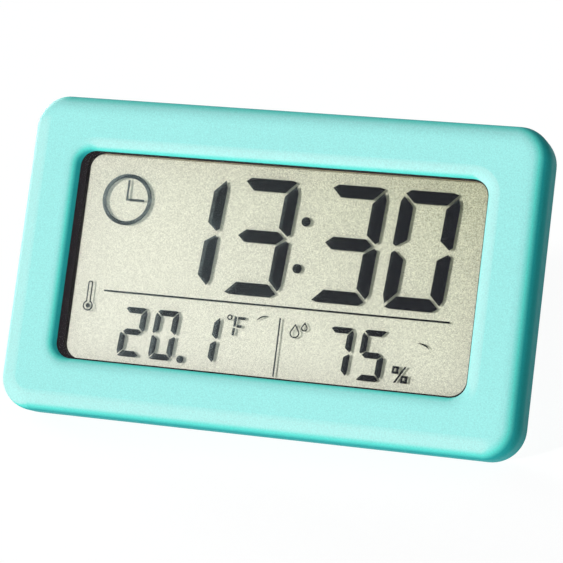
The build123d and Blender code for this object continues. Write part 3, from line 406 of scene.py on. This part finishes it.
# Lit segments: liquid crystal between the glasses that lets little light through, so the digits,
# rules and signs look blue-black, least so towards the left, and darkest over their own shadows.
INK = (0.005, 0.006, 0.010, 1)
INK_TINT = (0.54, 0.60, 0.65, 1)
DENSEST = 0.76
THINNED = 0.72
PALE_SLOPE = 17.0

crystal_ink, wire = new_material("crystal_ink")
place = face_place(wire, "lcd_segments")
unevenness = sharpened(wire, noise(wire, place, 45.0), 0.3, 0.7)
leftness = sharpened(wire, part_of(place, "X") * -PALE_SLOPE, -0.5, 0.5)
density = DENSEST - leftness * (0.5 + unevenness * 0.5) * THINNED
see_through = wire.node("ShaderNodeBsdfTransparent", {}, {"Color": INK_TINT})
opaque = wire.node("ShaderNodeBsdfPrincipled", {}, {
    "Base Color": INK, "Roughness": 0.45, "Specular IOR Level": 0.0})
film = wire.node("ShaderNodeMixShader", {}, {0: density, 1: see_through, 2: opaque})
wire.node("ShaderNodeOutputMaterial", {}, {"Surface": film})
dress(crystal_ink, "lcd_segments")

# Striped connectors: soft rubber, black with carbon and pale without it in turn, pressed between
# the glass and the board so that each black stripe joins one contact to another.
STRIPE_PITCH = 0.18 * MM
PALE_RUBBER = (0.55, 0.52, 0.50, 1)
CARBON = (0.015, 0.015, 0.016, 1)

striped_rubber, wire = new_material("striped_rubber")
place = face_place(wire, "zebra_strips")


def stripes(place, pitch, share):
    """1 on this share of each pitch along a measure, and 0 between."""
    return place.maths("LESS_THAN", place.maths("FRACT", place * (1 / pitch)), share)


carbon = stripes(part_of(place, "X"), STRIPE_PITCH, 0.5)
shaded(wire, {"Base Color": mixed(wire, carbon, PALE_RUBBER, CARBON),
              "Roughness": 0.6 + noise(wire, place, 900.0) * 0.2, "Specular IOR Level": 0.2})
dress(striped_rubber, "zebra_strips")

# Circuit board: glass fibre laminate under green solder mask, with copper tracks that show
# through it as paler lines, on four posts of the front shell.
TRACK_PITCH = 1.27 * MM
TRACK_SHARE = 0.3
MASK_GREEN = (0.006, 0.085, 0.035, 1)
TRACK_GREEN = (0.02, 0.20, 0.075, 1)
LAMINATE = (0.48, 0.42, 0.20, 1)

solder_mask, wire = new_material("solder_mask")
place = face_place(wire, "circuit_board")
turn = sharpened(wire, noise(wire, place, 55.0, 0.0), 0.49, 0.51)
upright = stripes(part_of(place, "X"), TRACK_PITCH, TRACK_SHARE) * turn
level = stripes(part_of(place, "Y"), TRACK_PITCH, TRACK_SHARE) * (1 - turn)
covered = sharpened(wire, noise(wire, place, 130.0), 0.44, 0.46)
tracks = wire.maths("MAXIMUM", upright, level) * covered
green = mixed(wire, tracks, MASK_GREEN, TRACK_GREEN)
sawn_edge = sharpened(wire, 1 - wire.maths("ABSOLUTE", facing(wire, FACE_NORMAL)), 0.4, 0.6)
shaded(wire, {"Base Color": mixed(wire, sawn_edge, green, LAMINATE),
              "Roughness": 0.32 + sawn_edge * 0.4,
              "Normal": bumped(wire, tracks, 0.03 * MM)})
dress(solder_mask, "circuit_board")

# What the board carries: a chip under a drop of black resin, a quartz crystal in a drawn can,
# ten ceramic capacitors and resistors, and three switches with black housings.
RESIN = (0.006, 0.006, 0.007, 1)
RESIN_PALE = (0.016, 0.015, 0.014, 1)

chip_resin, wire = new_material("chip_resin_drop")
ripple = noise(wire, on_object(wire), 350.0)
shaded(wire, {"Base Color": mixed(wire, ripple, RESIN, RESIN_PALE),
              "Roughness": 0.22 + ripple * 0.1, "Normal": bumped(wire, ripple, 0.05 * MM)})
dress(chip_resin, "controller_chip")

DRAWN = (120.0, 2600.0, 2600.0)
CAN_DULL = (0.55, 0.54, 0.52, 1)
CAN_BRIGHT = (0.75, 0.74, 0.71, 1)
CERAMIC = (0.22, 0.13, 0.07, 1)
CERAMIC_PALE = (0.42, 0.29, 0.17, 1)
SWITCH = (0.02, 0.02, 0.021, 1)
SWITCH_PALE = (0.05, 0.05, 0.05, 1)


def drawn_metal(name, node_names, dull, bright, roughness, stretch):
    """Bare metal with fine lines along the way that it was rolled, drawn or turned."""
    material, wire = new_material(name)
    place = face_place(wire, node_names[0])
    along = wire.node("ShaderNodeVectorMath", {"operation": "MULTIPLY"}, {0: place, 1: stretch})
    lines = noise(wire, along, 1.0, 3.0)
    shaded(wire, {"Base Color": mixed(wire, lines, dull, bright), "Metallic": 1.0,
                  "Roughness": roughness + lines * 0.15, "Normal": bumped(wire, lines, 0.004 * MM)})
    dress(material, *node_names)


drawn_metal("crystal_can", ["quartz_crystal"], CAN_DULL, CAN_BRIGHT, 0.22, DRAWN)

ceramic, wire = new_material("chip_ceramic")
fired = noise(wire, on_object(wire), 1500.0, 4.0)
shaded(wire, {"Base Color": mixed(wire, fired, CERAMIC, CERAMIC_PALE),
              "Roughness": 0.55 + fired * 0.2})
dress(ceramic, "board_components")

switch_black, wire = new_material("switch_black")
moulded = noise(wire, on_object(wire), 1200.0, 3.0)
shaded(wire, {"Base Color": mixed(wire, moulded, SWITCH, SWITCH_PALE),
              "Roughness": 0.45 + moulded * 0.2})
dress(switch_black, "button_switches")

# Sensors behind the vents: a bead thermistor dipped in black resin, and a humidity sensor whose
# white ceramic plate carries a fine comb of carbon under its coating.
COMB_PITCH = 0.5 * MM
COMB_SHARE = 0.45
BEAD = (0.010, 0.010, 0.011, 1)
BEAD_PALE = (0.03, 0.028, 0.026, 1)
PLATE = (0.82, 0.81, 0.76, 1)
COMB = (0.16, 0.15, 0.15, 1)

bead_resin, wire = new_material("bead_resin")
dip = noise(wire, on_object(wire), 800.0)
shaded(wire, {"Base Color": mixed(wire, dip, BEAD, BEAD_PALE),
              "Roughness": 0.2 + dip * 0.15, "Coat Weight": 0.4})
dress(bead_resin, "temperature_sensor")

comb_plate, wire = new_material("comb_plate")
place = face_place(wire, "humidity_sensor")
comb = stripes(part_of(place, "X"), COMB_PITCH, COMB_SHARE)
shaded(wire, {"Base Color": mixed(wire, comb, PLATE, COMB),
              "Roughness": 0.35 + noise(wire, place, 600.0) * 0.2})
dress(comb_plate, "humidity_sensor")

# Coin cell and its contacts: a steel can turned bright in rings, with a dark gasket where its
# cap is crimped in, and two plated springs soldered to the board.
GASKET_INNER = 8.55 * MM
GASKET_OUTER = 8.95 * MM
STEEL_DULL = (0.50, 0.50, 0.49, 1)
STEEL_BRIGHT = (0.74, 0.73, 0.71, 1)
GASKET = (0.03, 0.03, 0.03, 1)
PLATING_DULL = (0.56, 0.54, 0.48, 1)
PLATING_BRIGHT = (0.80, 0.77, 0.70, 1)
ROLLED = (2200.0, 90.0, 2200.0)

cell_can, wire = new_material("cell_can")
place = face_place(wire, "coin_cell")
flat_place = wire.node("ShaderNodeVectorMath", {"operation": "MULTIPLY"}, {0: place, 1: (1, 1, 0)})
radius = wire.node("ShaderNodeVectorMath", {"operation": "LENGTH"}, {0: flat_place}, "Value")
rings = wire.node("ShaderNodeTexNoise", {"noise_dimensions": "1D"}, {"W": radius, "Scale": 5200.0})
outside_cap = wire.maths("GREATER_THAN", radius, GASKET_INNER)
inside_rim = wire.maths("LESS_THAN", radius, GASKET_OUTER)
towards_cap = wire.maths("GREATER_THAN", facing(wire, FACE_NORMAL), 0.5)
gasket = outside_cap * inside_rim * towards_cap
steel = mixed(wire, rings, STEEL_DULL, STEEL_BRIGHT)
shaded(wire, {"Base Color": mixed(wire, gasket, steel, GASKET), "Metallic": 1 - gasket,
              "Roughness": 0.22 + rings * 0.2})
dress(cell_can, "coin_cell")

drawn_metal("contact_plate", ["battery_contact_positive", "battery_contact_negative"],
            PLATING_DULL, PLATING_BRIGHT, 0.28, ROLLED)

# Screws and magnets: zinc-plated steel screws in the corners and on the board, and two nickel
# discs pressed into the back cover.
ZINC_DULL = (0.42, 0.43, 0.44, 1)
ZINC_BRIGHT = (0.66, 0.67, 0.68, 1)
TURNED = (700.0, 700.0, 2400.0)
NICKEL_DULL = (0.56, 0.55, 0.52, 1)
NICKEL_BRIGHT = (0.74, 0.72, 0.69, 1)
PLATED = (500.0, 500.0, 500.0)

drawn_metal("screw_zinc", ["case_screws", "board_screws"], ZINC_DULL, ZINC_BRIGHT, 0.30, TURNED)
drawn_metal("magnet_nickel", ["magnets"], NICKEL_DULL, NICKEL_BRIGHT, 0.14, PLATED)
